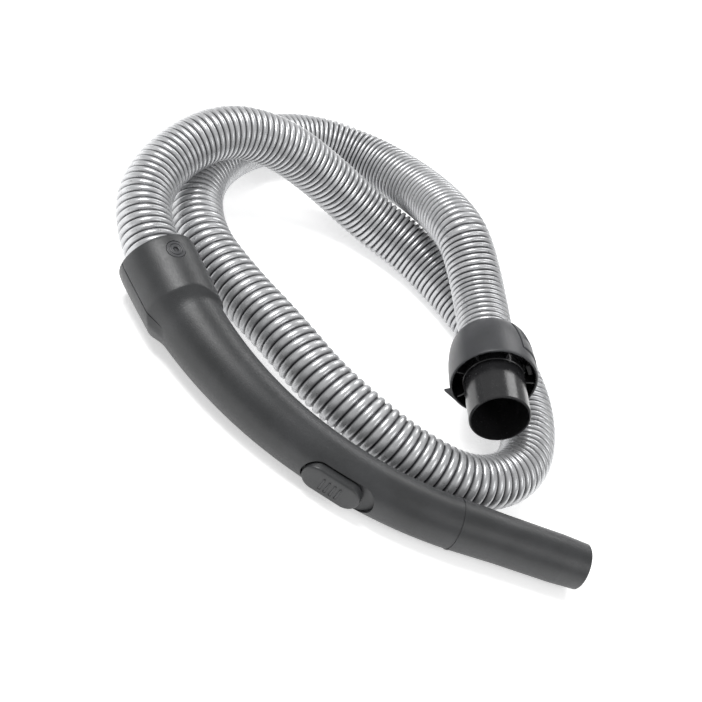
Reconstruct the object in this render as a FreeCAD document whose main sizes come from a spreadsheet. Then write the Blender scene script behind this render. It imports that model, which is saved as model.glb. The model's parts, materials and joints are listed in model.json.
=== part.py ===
import FreeCAD, Part
import math
import os
import re
import Sketcher

# Hose assembly of a canister vacuum cleaner: a bent handle that takes the wand, a corrugated hose, and the
# connector that locks into the machine. Millimetres, +Z up, lying on the floor at Z = 0.
# +X is the way the wand leaves the handle. The origin is under the middle of the handle and connector.

DIMENSIONS = {
    # hose
    "hose_radius": 20.0,
    "hose_wall": 1.7,
    # handle centre line, from the rear of the collar to the tip of the spigot
    "collar_run": 27.0,
    "rear_bend_radius": 243.0,
    "rear_bend_angle": 32.1,
    "front_bend_radius": 277.0,
    "front_bend_angle": 25.9,
    "spigot_length": 100.5,
    # handle tube
    "socket_start": 3.2,
    "socket_end": 25.5,
    "tube_rear_radius": 25.9,
    "shoulder_radius": 24.0,
    "shoulder_at": 48.0,
    "neck_radius": 18.3,
    "tube_wall": 2.2,
    "running_gap": 0.06,
    "moving_gap": 0.4,
    # cuff on the hose inside the handle
    "journal_radius": 24.0,
    "cuff_rim_radius": 25.4,
    "cuff_rim_length": 4.7,
    "cuff_overhang": 2.0,
    "cuff_length": 27.0,
    "cuff_seat_depth": 12.0,
    "cuff_airway_radius": 18.3,
    "ring_groove_at": 8.5,
    "ring_groove_width": 1.8,
    "ring_groove_radius": 22.4,
    "ring_radius": 25.0,
    "seal_groove_at": 20.0,
    "seal_groove_width": 3.0,
    # clamshell collar
    "collar_rear_radius": 27.7,
    "collar_belly_radius": 28.2,
    "collar_belly_at": 8.0,
    "collar_front_radius": 26.6,
    "collar_length": 66.5,
    "collar_opening_radius": 27.0,
    "collar_edge": 1.8,
    "lip_radius": 38.4,
    "lip_centre_across": 6.5,
    "lip_centre_along": 84.9,
    "screw_at": 15.0,
    "screw_angle": 81.0,
    "screw_head_radius": 6.4,
    "screw_head_height": 1.3,
    "screw_recess_radius": 7.4,
    "screw_seat_radius": 26.6,
    "screw_socket_radius": 3.2,
    "screw_shank_radius": 1.75,
    "screw_shank_length": 2.3,
    # wand spigot
    "spigot_ring_radius": 18.7,
    "spigot_ring_width": 1.8,
    "spigot_cone_length": 34.5,
    "land_radius": 17.5,
    "land_length": 44.0,
    "tip_radius": 16.6,
    "tip_edge": 0.8,
    "spigot_bore_radius": 14.4,
    "tail_radius": 15.6,
    "tail_length": 12.0,
    # air bleed slider
    "bleed_at": 201.0,
    "bleed_floor": 13.5,
    "bleed_floor_thickness": 1.5,
    "slider_length": 44.0,
    "slider_width": 21.0,
    "slider_top": 21.0,
    "slider_travel": 8.0,
    "recess_width": 24.0,
    "recess_margin": 1.5,
    "rib_pitch": 4.2,
    "rib_radius": 0.8,
    "stem_length": 10.0,
    "stem_width": 3.0,
    "clip_thickness": 1.0,
    "clip_length": 16.0,
    "clip_width": 9.0,
    "port_length": 13.0,
    "port_width": 5.0,
    # machine connector, from the rear of the bell to the end of the spout
    "bell_rear_radius": 21.2,
    "bell_mouth_radius": 31.6,
    "bell_depth": 44.0,
    "bell_wall": 2.0,
    "bell_hole_radius": 20.4,
    "bell_rear_wall": 2.6,
    "socket_radius": 23.8,
    "socket_rear": 7.5,
    "socket_front": 33.0,
    "socket_shoulder": 34.2,
    "machine_journal_radius": 22.5,
    "machine_cuff_rear": 4.0,
    "machine_cuff_front": 31.0,
    "machine_seat_end": 12.0,
    "spout_radius": 22.0,
    "spout_wall": 1.6,
    "spout_step": 0.4,
    "spout_end": 80.0,
    "fin_start": 34.5,
    "fin_end": 42.0,
    "fin_reach": 29.3,
    "fin_thickness": 1.2,
    "key_radius": 35.8,
    "key_thickness": 2.5,
    # release latch
    "latch_rear": 5.0,
    "latch_front": 33.0,
    "latch_width": 33.0,
    "latch_lift": 0.7,
    "latch_thickness": 1.8,
    "latch_gap": 0.5,
    "pin_radius": 1.25,
    "pin_out": 26.3,
    "pin_along": 26.0,
    "pin_length": 19.6,
    "pin_play": 0.1,
    "spring_coil_radius": 1.9,
    "spring_wire_radius": 0.3,
}

# Where the handle and the connector lie: position, and the turns that set their direction.
TIP_POSITION = FreeCAD.Vector(179.24, -68.05, 18.7)
HANDLE_TILT = 5.3
CONNECTOR_POSITION = FreeCAD.Vector(91.08, 83.78, 57)
CONNECTOR_YAW = 3.96
CONNECTOR_RISE = 1.5
CONNECTOR_ROLL = 41.9

# Angles of the fins round the spout, and where the key on the bell begins and ends.
FIN_ANGLES = [-24, 54, 104, 143, 193, 248, 298]
KEY_ANGLES = [174, 210]

# The route of the hose, from inside the handle's cuff to inside the machine's cuff.
ROUTE = [
    (-151.2, 63.45, 30.9),
    (-176.1, 103.13, 34.58),
    (-167.69, 155.73, 47.5),
    (-131.19, 198.73, 65),
    (-82.99, 219.03, 59.5),
    (-32.49, 225.53, 39),
    (14.11, 218.73, 22),
    (56.01, 200.03, 20),
    (90.51, 168.03, 20),
    (126.51, 122.53, 20),
    (146.51, 65.03, 20),
    (138.51, 3.03, 20),
    (94.51, -29.87, 20),
    (43.51, -23.87, 24),
    (4.51, -7.97, 28),
    (-28.49, 14.03, 29),
    (-58.99, 45.63, 29.4),
    (-92.49, 83.53, 23.7),
    (-125.49, 128.53, 20),
    (-130.49, 191.03, 20),
    (-94.99, 257.13, 20),
    (-40.49, 295.13, 20),
    (10.51, 287.13, 27),
    (44.51, 239.73, 50),
    (62.31, 180.23, 73.5),
    (75.31, 154.73, 68),
    (89.01, 113.7, 56.21),
    (91.91, 71.81, 57.31),
]

doc = FreeCAD.newDocument("HoseAssembly")
sheet = doc.addObject("Spreadsheet::Sheet", "Dims")
for row, (alias, value) in enumerate(DIMENSIONS.items(), 1):
    sheet.set(f"A{row}", alias)
    sheet.set(f"B{row}", str(value))
    sheet.setAlias(f"B{row}", alias)
doc.recompute()

HERE = FreeCAD.Placement()
X_AXIS = FreeCAD.Vector(1, 0, 0)
Y_AXIS = FreeCAD.Vector(0, 1, 0)
Z_AXIS = FreeCAD.Vector(0, 0, 1)
sub_parts = []


def formula(text):
    """Text with the sheet's name put before each alias, as an expression needs it."""
    return re.sub(r"[a-z]+(?:_[a-z]+)+", lambda found: "Dims." + found.group(0), str(text))


def size(text):
    """The value of an alias or of a sum of aliases."""
    value = sheet.evalExpression(formula(text))
    return float(getattr(value, "Value", value))


def shift(along_x=0.0, along_y=0.0, along_z=0.0):
    """A placement that only moves."""
    return FreeCAD.Placement(FreeCAD.Vector(along_x, along_y, along_z), FreeCAD.Rotation())


def turn(axis, degrees):
    """A placement that only turns about an axis through the origin."""
    return FreeCAD.Placement(FreeCAD.Vector(), FreeCAD.Rotation(axis, degrees))


def add(kind, name, place=HERE, **sizes):
    """Adds a Part object, with each size bound to an expression on the sheet."""
    made = doc.addObject("Part::" + kind, name)
    for prop, text in sizes.items():
        made.setExpression(prop, formula(text))
    made.Placement = place
    return made


def rod(name, radius, start, length, place=HERE):
    """A cylinder along local Z that begins at start."""
    return add("Cylinder", name, place * shift(along_z=size(start)), Radius=radius, Height=length)


def block(name, place, low, length, width, height):
    """A box whose low corner is given in the frame of place."""
    corner = shift(size(low[0]), size(low[1]), size(low[2]))
    return add("Box", name, place * corner, Length=length, Width=width, Height=height)


def fuse(name, *pieces):
    """The union of several objects."""
    made = doc.addObject("Part::MultiFuse", name)
    made.Shapes = list(pieces)
    return made


def cut(name, base, *tools):
    """An object with one or more tools taken out of it."""
    made = doc.addObject("Part::Cut", name)
    made.Base = base
    made.Tool = tools[0] if len(tools) == 1 else fuse(name + "_tools", *tools)
    return made


def common(name, first, second):
    """What two objects share."""
    made = doc.addObject("Part::Common", name)
    made.Base = first
    made.Tool = second
    return made


def origin_plane(body, role):
    """One of a body's own origin planes."""
    return next(item for item in body.Origin.OriginFeatures if item.Role == role)


def outlined(body, plane, outline):
    """A closed sketch of straight lines, with every corner bound to the sheet."""
    sketch = body.newObject("Sketcher::SketchObject", body.Name + "_outline")
    sketch.AttachmentSupport = [(origin_plane(body, plane), "")]
    sketch.MapMode = "FlatFace"
    corners = [FreeCAD.Vector(size(across), size(along), 0) for across, along in outline]
    for number, corner in enumerate(corners):
        sketch.addGeometry(Part.LineSegment(corner, corners[(number + 1) % len(corners)]), False)
    for number, (across, along) in enumerate(outline):
        following = (number + 1) % len(corners)
        sketch.addConstraint(Sketcher.Constraint("Coincident", number, 2, following, 1))
        corner = corners[number]
        held = sketch.addConstraint(Sketcher.Constraint("DistanceX", -1, 1, number, 1, corner.x))
        sketch.setExpression(f"Constraints[{held}]", formula(across))
        held = sketch.addConstraint(Sketcher.Constraint("DistanceY", -1, 1, number, 1, corner.y))
        sketch.setExpression(f"Constraints[{held}]", formula(along))
    return sketch


def revolved(name, outline, place=HERE):
    """A body turned about local Z from corners given as (radius, distance along)."""
    body = doc.addObject("PartDesign::Body", name)
    sketch = outlined(body, "XZ_Plane", outline)
    feature = body.newObject("PartDesign::Revolution", name + "_turned")
    feature.Profile = sketch
    feature.ReferenceAxis = (sketch, ["V_Axis"])
    feature.Angle = 360
    body.Tip = feature
    body.Placement = place
    return body


def bored(name, outer, inner, start, length, place=HERE):
    """A plain ring."""
    hole = rod(name + "_hole", inner, f"{start} - 1", f"{length} + 2")
    ring = cut(name, rod(name + "_disc", outer, start, length), hole)
    ring.Placement = place
    return ring


def keep(piece, label, place=None):
    """Lists a finished sub-part under the name of its file."""
    piece.Label = label
    if place is not None:
        piece.Placement = place
    sub_parts.append(piece)
    return piece


# Handle frame: origin at the rear of the collar, local Z forward along the collar, local X towards the
# inside of the bend, local Y up.


def handle_point(distance):
    """Placement on the handle's centre line at a distance from the collar's rear, local Z forward."""
    place = shift(along_z=min(distance, size("collar_run")))
    left = distance - size("collar_run")
    for bend in ("rear_bend", "front_bend"):
        radius = size(bend + "_radius")
        angle = min(max(left, 0.0) / radius, math.radians(size(bend + "_angle")))
        centre = place * shift(along_x=radius)
        place = centre * turn(Y_AXIS, math.degrees(angle)) * shift(along_x=-radius)
        left -= angle * radius
    return place * shift(along_z=max(left, 0.0))


def handle_length():
    """Length of the centre line from the collar's rear to the seam with the spigot."""
    rear = size("rear_bend_radius") * math.radians(size("rear_bend_angle"))
    front = size("front_bend_radius") * math.radians(size("front_bend_angle"))
    return size("collar_run") + rear + front


SEAM_AT = handle_length()
LAID_FLAT = turn(FreeCAD.Vector(1, 1, 1), 120)
BEND_TOTAL = size("rear_bend_angle + front_bend_angle")
HANDLE_TURN = turn(X_AXIS, HANDLE_TILT) * turn(Z_AXIS, -BEND_TOTAL) * LAID_FLAT
TIP_LOCAL = handle_point(SEAM_AT + size("spigot_length")).Base
HANDLE = FreeCAD.Placement(TIP_POSITION, FreeCAD.Rotation()) * HANDLE_TURN * shift(*(-TIP_LOCAL))

CONNECTOR = (
    FreeCAD.Placement(CONNECTOR_POSITION, FreeCAD.Rotation())
    * turn(Z_AXIS, CONNECTOR_YAW)
    * turn(X_AXIS, 90 - CONNECTOR_RISE)
    * turn(Z_AXIS, CONNECTOR_ROLL)
)


def hose_path():
    """Straight runs joined by tangent arcs, each as large as its two runs allow. Returns edges and radii."""
    points = [FreeCAD.Vector(*point) for point in ROUTE]
    edges = []
    radii = []
    reached = points[0]
    for before, corner, after in zip(points, points[1:], points[2:]):
        back = (before - corner).normalize()
        ahead = (after - corner).normalize()
        half_turn = (math.pi - back.getAngle(ahead)) / 2
        trim = 0.45 * min((before - corner).Length, (after - corner).Length)
        radius = trim / math.tan(half_turn)
        start = corner + back * trim
        end = corner + ahead * trim
        inward = (back + ahead).normalize()
        middle = corner + inward * (radius / math.cos(half_turn) - radius)
        edges.append(Part.LineSegment(reached, start).toShape())
        edges.append(Part.Arc(start, middle, end).toShape())
        radii.append(radius)
        reached = end
    edges.append(Part.LineSegment(reached, points[-1]).toShape())
    return edges, radii


def make_hose():
    """The hose as a plain thin-walled tube."""
    edges, radii = hose_path()
    wire = Part.Wire(edges)
    start = FreeCAD.Vector(*ROUTE[0])
    along = FreeCAD.Vector(*ROUTE[1]) - start
    outer = size("hose_radius")
    rims = [Part.makeCircle(radius, start, along) for radius in (outer, outer - size("hose_wall"))]
    discs = [Part.Face(Part.Wire(rim)) for rim in rims]
    ring = discs[0].cut(discs[1])
    hose = doc.addObject("Part::Feature", "hose")
    hose.Shape = wire.makePipe(ring).Solids[0]
    lowest = hose.Shape.optimalBoundingBox(False).ZMin
    share = hose.Shape.Volume / ring.Area / wire.Length
    print(f"hose length {wire.Length:.0f}, volume over section x length {share:.4f}")
    print("hose bend radii", [round(radius) for radius in radii], "lowest", round(lowest, 2))
    keep(hose, "hose", HERE)


def make_handle_cuff():
    """The swivelling cuff on the hose, with its seal and the split ring that holds it in the handle."""
    place = HANDLE * shift(along_z=-size("cuff_overhang"))
    outline = [
        ("hose_radius", "0"),
        ("cuff_rim_radius - 0.8", "0"),
        ("cuff_rim_radius", "0.8"),
        ("cuff_rim_radius", "cuff_rim_length"),
        ("journal_radius", "cuff_rim_length"),
        ("journal_radius", "ring_groove_at"),
        ("ring_groove_radius", "ring_groove_at"),
        ("ring_groove_radius", "ring_groove_at + ring_groove_width"),
        ("journal_radius", "ring_groove_at + ring_groove_width"),
        ("journal_radius", "seal_groove_at"),
        ("ring_groove_radius", "seal_groove_at"),
        ("ring_groove_radius", "seal_groove_at + seal_groove_width"),
        ("journal_radius", "seal_groove_at + seal_groove_width"),
        ("journal_radius", "cuff_length"),
        ("cuff_airway_radius", "cuff_length"),
        ("cuff_airway_radius", "cuff_seat_depth"),
        ("hose_radius", "cuff_seat_depth"),
    ]
    keep(revolved("handle_cuff_body", outline), "handle_cuff", place)

    seal = bored("cuff_seal_ring", "journal_radius", "ring_groove_radius + 0.05",
                 "seal_groove_at + 0.05", "seal_groove_width - 0.1")
    keep(seal, "cuff_seal", place)

    ring = bored("split_ring", "ring_radius", "ring_groove_radius + 0.05",
                 "ring_groove_at + 0.1", "ring_groove_width - 0.2")
    split = block("split_ring_opening", HERE, ("0", "-4", "0"), "journal_radius + 9", "8", "cuff_length")
    keep(cut("split_ring_open", ring, split), "retaining_ring", place)


def tube_radius(distance):
    """Expression for the handle tube's outer radius, which shrinks towards the seam."""
    share = (SEAM_AT - distance) / (SEAM_AT - size("shoulder_at"))
    return f"neck_radius + (shoulder_radius - neck_radius) * {share * share:.6f}"


def tube_loft(name, start, end, offset):
    """A loft of circles along the handle's centre line, offset from the tube's outer radius."""
    count = 22
    circles = []
    for number in range(count + 1):
        distance = start + (end - start) * number / count
        radius = f"{tube_radius(distance)} + ({offset})"
        circles.append(add("Circle", f"{name}_section_{number}", handle_point(distance), Radius=radius))
    loft = doc.addObject("Part::Loft", name)
    loft.Sections = circles
    loft.Solid = True
    return loft


def stadium(name, place, length, width, low, height):
    """A slab with round ends. Its length lies along local Z, its width along Y, its height along X."""
    half = f"({length} - ({width})) / 2"
    upright = place * turn(Y_AXIS, 90)
    ends = [
        rod(f"{name}_end_{side}", f"({width}) / 2", low, height,
            upright * shift(along_x=side * size(half)))
        for side in (-1, 1)
    ]
    middle = block(name + "_middle", upright, (f"-({half})", f"-({width}) / 2", low),
                   f"{length} - ({width})", width, height)
    return fuse(name, middle, *ends)


def bleed_place():
    """Frame of the air bleed: local X points out of the tube's convex side, local Z still runs forward."""
    return handle_point(size("bleed_at")) * turn(Z_AXIS, 180)


def screw_places():
    """Frames of the two collar screws: local Z points outwards, origin on the collar's axis."""
    places = []
    for side in (1, -1):
        round_axis = turn(Z_AXIS, 180 - side * size("screw_angle"))
        places.append(shift(along_z=size("screw_at")) * round_axis * turn(Y_AXIS, 90))
    return places


def screw_holes(name):
    """Clearance holes for the two collar screws."""
    inner = "screw_seat_radius - screw_shank_length - 1"
    return [
        rod(f"{name}_{number}", "screw_shank_radius + 0.1", inner, "9", place)
        for number, place in enumerate(screw_places())
    ]


def make_grip_tube():
    """The bent tube of the handle, with the cuff's socket, the seat of the air bleed and its port."""
    socket_end = size("socket_end")
    skin = fuse(
        "tube_skin",
        tube_loft("tube_outside", socket_end - 4.0, SEAM_AT, "0"),
        rod("tube_rear", "tube_rear_radius", "socket_start", "socket_end - socket_start"),
    )
    airway = tube_loft("tube_airway", socket_end - 1.0, SEAM_AT + 1.0, "-tube_wall")
    socket = rod("tube_socket", "journal_radius + running_gap", "0", "socket_end")
    groove = rod("tube_ring_groove", "ring_radius + 0.3", "ring_groove_at - cuff_overhang - 0.3",
                 "ring_groove_width + 0.6")
    shell = cut("tube_shell", skin, airway, socket, groove, *screw_holes("tube_screw_hole"))

    place = bleed_place()
    plate = block("bleed_plate", place, ("bleed_floor - bleed_floor_thickness", "-20", "-28"),
                  "bleed_floor_thickness", "40", "64")
    inside = tube_loft("tube_mid_wall", socket_end, SEAM_AT, "-tube_wall / 2")
    floor = common("bleed_floor_plate", plate, inside)
    centre = place * shift(along_z=size("slider_travel / 2"))
    recess = stadium("bleed_recess", centre, "slider_length + slider_travel + 2 * recess_margin",
                     "recess_width", "bleed_floor", "20")
    guide = stadium("bleed_guide", centre, "stem_length + slider_travel + stem_width",
                    "stem_width + 2 * moving_gap", "bleed_floor - 4", "6")
    port_at = place * shift(along_z=-size("(slider_length - slider_travel) / 2")) * turn(X_AXIS, 90)
    port = stadium("bleed_port", port_at, "port_length", "port_width", "bleed_floor - 4", "6")
    keep(cut("tube_open", fuse("tube_with_floor", shell, floor), recess, guide, port), "grip_tube", HANDLE)


def make_collar():
    """The clamshell collar in two halves that meet in the plane of the bend, and its two screws."""
    body = revolved("collar_body", [
        ("10", "0"),
        ("collar_rear_radius - collar_edge", "0"),
        ("collar_rear_radius - 0.3 * collar_edge", "0.3 * collar_edge"),
        ("collar_rear_radius + 0.1", "collar_edge"),
        ("collar_belly_radius", "collar_belly_at"),
        ("collar_front_radius + 0.2", "collar_length - 2"),
        ("collar_front_radius - 1", "collar_length"),
        ("10", "collar_length"),
    ])
    tube = tube_loft("collar_lining", size("collar_run") - 8.0, size("collar_length") + 12.0, "0.1")
    rear = rod("collar_lining_rear", "tube_rear_radius + 0.1", "-1", "socket_end + 1.1")
    opening = rod("collar_opening", "collar_opening_radius", "-1", "socket_start + 1")
    lip_place = shift(size("lip_centre_across"), -60, size("lip_centre_along")) * turn(X_AXIS, -90)
    lip = rod("collar_lip", "lip_radius", "0", "120", lip_place)
    recesses = [
        rod(f"collar_screw_recess_{number}", "screw_recess_radius", "screw_seat_radius", "9", place)
        for number, place in enumerate(screw_places())
    ]
    holes = screw_holes("collar_screw_hole")
    shell = cut("collar_shell", body, tube, rear, opening, lip, *recesses, *holes)
    split = 0.06
    for name, low in (("collar_upper", -80 + split), ("collar_lower", -split)):
        other_side = block(name + "_other_side", HERE, ("-50", str(low), "-10"), "100", "80", "100")
        keep(cut(name + "_half", shell, other_side), name, HANDLE)

    screws = []
    for number, place in enumerate(screw_places()):
        head = rod(f"screw_head_{number}", "screw_head_radius", "screw_seat_radius",
                   "screw_head_height", place)
        shank = rod(f"screw_shank_{number}", "screw_shank_radius", "screw_seat_radius - screw_shank_length",
                    "screw_shank_length + 0.5", place)
        socket = rod(f"screw_socket_{number}", "screw_socket_radius",
                     "screw_seat_radius + screw_head_height - 1.1", "3", place)
        screws.append(cut(f"collar_screw_{number}", fuse(f"screw_blank_{number}", head, shank), socket))
    pair = doc.addObject("Part::Compound", "collar_screw_pair")
    pair.Links = screws
    keep(pair, "collar_screws", HANDLE)


def make_wand_spigot():
    """The spigot that the wand slides on, and the trim ring at its root."""
    place = HANDLE * handle_point(SEAM_AT)
    start = "tail_length"
    outline = [
        ("spigot_bore_radius", "0"),
        ("tail_radius", "0"),
        ("tail_radius", start),
        ("neck_radius - 1.2", start),
        ("neck_radius - 1.2", f"{start} + spigot_ring_width"),
        ("neck_radius", f"{start} + spigot_ring_width"),
        ("land_radius", f"{start} + spigot_ring_width + spigot_cone_length"),
        ("land_radius", f"{start} + spigot_ring_width + spigot_cone_length + land_length"),
        ("tip_radius", f"{start} + spigot_length - tip_edge"),
        ("tip_radius - tip_edge", f"{start} + spigot_length"),
        ("spigot_bore_radius", f"{start} + spigot_length"),
    ]
    keep(revolved("spigot_body", outline), "wand_spigot", place * shift(along_z=-size("tail_length")))
    ring = bored("seam_ring_band", "spigot_ring_radius", "neck_radius - 1.1", "0.1",
                 "spigot_ring_width - 0.2")
    keep(ring, "seam_ring", place)


def make_bleed_slider():
    """The ribbed slider that opens the air bleed, and the clip that holds it from inside."""
    place = HANDLE * bleed_place()
    low = "bleed_floor + moving_gap"
    plate = stadium("slider_plate", HERE, "slider_length", "slider_width", low, f"slider_top - ({low})")
    stem = block("slider_stem", HERE, ("bleed_floor - 4.2", "-stem_width / 2", "-stem_length / 2"),
                 "5", "stem_width", "stem_length")
    ribs = []
    for number in range(4):
        offset = (number - 1.5) * size("rib_pitch")
        bar_place = shift(size("slider_top"), -size("slider_width") * 0.28, offset) * turn(X_AXIS, -90)
        ribs.append(rod(f"slider_rib_{number}", "rib_radius", "0", "slider_width * 0.56", bar_place))
    keep(fuse("slider_body", plate, stem, *ribs), "bleed_slider", place)

    clip_low = "bleed_floor - bleed_floor_thickness - moving_gap - clip_thickness"
    clip = stadium("clip_plate", HERE, "clip_length", "clip_width", clip_low, "clip_thickness")
    hole = block("clip_hole", HERE, (f"{clip_low} - 1", "-stem_width / 2 - 0.02", "-stem_length / 2 - 0.02"),
                 "4", "stem_width + 0.04", "stem_length + 0.04")
    keep(cut("clip_open", clip, hole), "slider_clip", place)


# Connector frame: origin at the rear rim of the bell, local Z towards the end of the spout, local X out
# through the middle of the release latch.


def bell_outline(offset, start, end, count=12):
    """Corners (radius, along) of the bell's rounded outside, offset outwards, from start to end."""
    corners = []
    depth = size("bell_depth")
    for number in range(count + 1):
        ease = 1 - math.cos(math.pi / 2 * number / count)
        along = start + (end - start) * (ease if start < depth / 4 else number / count)
        share = (1 - (1 - along / depth) ** 2.3) ** 0.5
        radius = f"bell_rear_radius + (bell_mouth_radius - bell_rear_radius) * {share:.6f} + ({offset})"
        corners.append((radius, f"{along:.4f}"))
    return corners


def make_bell():
    """The outer bell, with its key and the window for the latch."""
    depth = size("bell_depth")
    outside = bell_outline("0", 0.0, depth)
    inside = bell_outline("-bell_wall", size("bell_rear_wall + 1.2"), depth)
    corners = [("bell_hole_radius", "bell_rear_wall"), ("bell_hole_radius", "0")] + outside
    corners += inside[::-1] + [(inside[0][0], "bell_rear_wall")]
    shell = revolved("bell_shell", corners)

    first, last = KEY_ANGLES
    steep = turn(Z_AXIS, first)
    ramp_angle = math.atan2(size("key_radius - bell_mouth_radius"),
                            size("key_radius") * math.radians(last - first))
    blade = block("key_blade", steep, ("bell_mouth_radius - 1.5", "0", "bell_depth - key_thickness"),
                  "key_radius - bell_mouth_radius + 1.5", "bell_mouth_radius * 0.62", "key_thickness")
    slope_place = steep * shift(size("key_radius"), 0, 0)
    slope_place = slope_place * turn(Z_AXIS, math.degrees(ramp_angle) + 0.5 * (last - first))
    slope = block("key_slope", slope_place, ("0", "-20", "bell_depth - key_thickness - 1"), "40", "80", "9")
    key = cut("key_lug", blade, slope, rod("key_inside", "bell_mouth_radius - 1", "0", "bell_depth + 5"))

    window = block("latch_window", HERE,
                   ("0", "-latch_width / 2 - latch_gap", "latch_rear - latch_gap"),
                   "60", "latch_width + 2 * latch_gap", "latch_front - latch_rear + 2 * latch_gap")
    keep(cut("bell_open", fuse("bell_with_key", shell, key), window), "connector_bell", CONNECTOR)


def pin_hole(name, radius):
    """A round bar on the latch pin's axis, longer than the pin."""
    place = shift(size("pin_out"), -20, size("pin_along")) * turn(X_AXIS, -90)
    return rod(name, radius, "0", "40", place)


def make_spout():
    """The spout that carries the air, with the cuff's socket, the fins and the lugs of the latch pin."""
    bore = "spout_radius - spout_wall"
    tube = revolved("spout_tube", [
        ("machine_journal_radius + running_gap", "socket_rear"),
        ("socket_radius", "socket_rear"),
        ("socket_radius", "socket_front"),
        ("spout_radius + spout_step", "socket_front + 2"),
        ("spout_radius + spout_step", "fin_end"),
        ("spout_radius", "fin_end + spout_step"),
        ("spout_radius", "spout_end - 0.8"),
        ("spout_radius - 0.6", "spout_end"),
        (bore, "spout_end"),
        (bore, "socket_shoulder"),
        ("machine_journal_radius + running_gap", "socket_shoulder"),
    ])
    fins = [
        block(f"fin_{number}", turn(Z_AXIS, angle), ("spout_radius - 0.6", "-fin_thickness / 2", "fin_start"),
              "fin_reach - spout_radius + 0.6", "fin_thickness", "fin_end - fin_start")
        for number, angle in enumerate(FIN_ANGLES)
    ]
    lugs = [
        block(f"pin_lug_{number}", HERE, ("socket_radius - 3.2", edge, "pin_along - 2"),
              "pin_out + 1.4 - socket_radius + 3.2", "2", "4")
        for number, edge in enumerate(("7.5", "-9.5"))
    ]
    journal = rod("lug_trim", "machine_journal_radius + running_gap", "socket_rear",
                  "socket_shoulder - socket_rear")
    blank = cut("spout_blank", fuse("spout_with_fins", tube, *fins, *lugs), journal,
                pin_hole("lug_holes", "pin_radius + 0.02"))
    keep(blank, "connector_spout", CONNECTOR)


def make_machine_cuff():
    """The cuff on the hose inside the connector, its thrust washer and its seal."""
    outline = [
        ("hose_radius", "machine_cuff_rear"),
        ("machine_journal_radius", "machine_cuff_rear"),
        ("machine_journal_radius", "machine_cuff_front"),
        ("cuff_airway_radius", "machine_cuff_front"),
        ("cuff_airway_radius", "machine_seat_end"),
        ("hose_radius", "machine_seat_end"),
    ]
    keep(revolved("machine_cuff_body", outline), "machine_cuff", CONNECTOR)
    washer = bored("washer_ring", "machine_journal_radius + 0.9", "hose_radius + 0.7",
                   "bell_rear_wall + 0.05", "1")
    keep(washer, "thrust_washer", CONNECTOR)
    seal = bored("machine_seal_ring", "machine_journal_radius", "spout_radius - spout_wall",
                 "machine_cuff_front + 0.35", "socket_shoulder - machine_cuff_front - 0.4")
    keep(seal, "machine_seal", CONNECTOR)


def make_latch():
    """The release latch, the pin it rocks on and its return spring."""
    rear = size("latch_rear")
    front = size("latch_front")
    outside = bell_outline("latch_lift", rear, front)
    inside = bell_outline("latch_lift - latch_thickness", rear, front)
    full = revolved("latch_full_turn", outside + inside[::-1])
    sector = block("latch_sector", HERE, ("0", "-latch_width / 2", "0"), "60", "latch_width", "bell_depth")
    pad = common("latch_pad", full, sector)
    ears = [
        block(f"latch_ear_{number}", HERE, ("pin_out - 1.7", edge, "pin_along - 2.2"), "5.2", "2.5", "4.5")
        for number, edge in enumerate(("4.6", "-7.1"))
    ]
    web = block("latch_web", HERE, ("26.4", "-3", "pin_along + 3"), "4.6", "9", "3.5")
    arm = block("latch_arm", HERE, ("26.4", "-3", "pin_along + 3"), "1.4", "9", "13")
    hook = block("latch_hook", HERE, ("24.8", "-3", "pin_along + 14"), "3.0", "9", "2")
    blank = fuse("latch_blank", pad, *ears, web, arm, hook)
    bored_latch = cut("latch_bored", blank, pin_hole("ear_holes", "pin_radius + pin_play"))
    keep(bored_latch, "release_latch", CONNECTOR)

    pin_place = shift(size("pin_out"), 0, size("pin_along")) * turn(X_AXIS, -90)
    keep(rod("pin_rod", "pin_radius", "-pin_length / 2", "pin_length"), "latch_pin", CONNECTOR * pin_place
         * shift(along_z=-size("pin_length / 2")))

    coil = Part.makeHelix(1.1, 8.0, size("spring_coil_radius"))
    start = FreeCAD.Vector(size("spring_coil_radius"), 0, 0)
    section = Part.Wire(Part.makeCircle(size("spring_wire_radius"), start, Y_AXIS))
    spring = doc.addObject("Part::Feature", "spring_coil")
    spring.Shape = Part.Wire(coil.Edges).makePipeShell([section], True, True)
    keep(spring, "latch_spring", CONNECTOR * pin_place * shift(along_z=-4.0))


make_hose()
make_handle_cuff()
make_grip_tube()
make_collar()
make_wand_spigot()
make_bleed_slider()
make_bell()
make_spout()
make_machine_cuff()
make_latch()
doc.recompute()

for item in doc.Objects:
    if "Invalid" in item.State or "Error" in item.State:
        raise RuntimeError(f"{item.Name} failed: {item.State}")
for piece in sub_parts:
    if piece.Shape.isNull() or not piece.Shape.isValid():
        raise RuntimeError(f"{piece.Label} has no valid shape")

os.makedirs("parts", exist_ok=True)
for piece in sub_parts:
    piece.Shape.exportStep(f"parts/{piece.Label}.step")
    print(piece.Label, len(piece.Shape.Solids), "solids", round(piece.Shape.Volume / 1000, 2), "cm3")
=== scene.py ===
import bmesh
import bpy
import json
import math
from mathutils import Matrix, Vector


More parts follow.
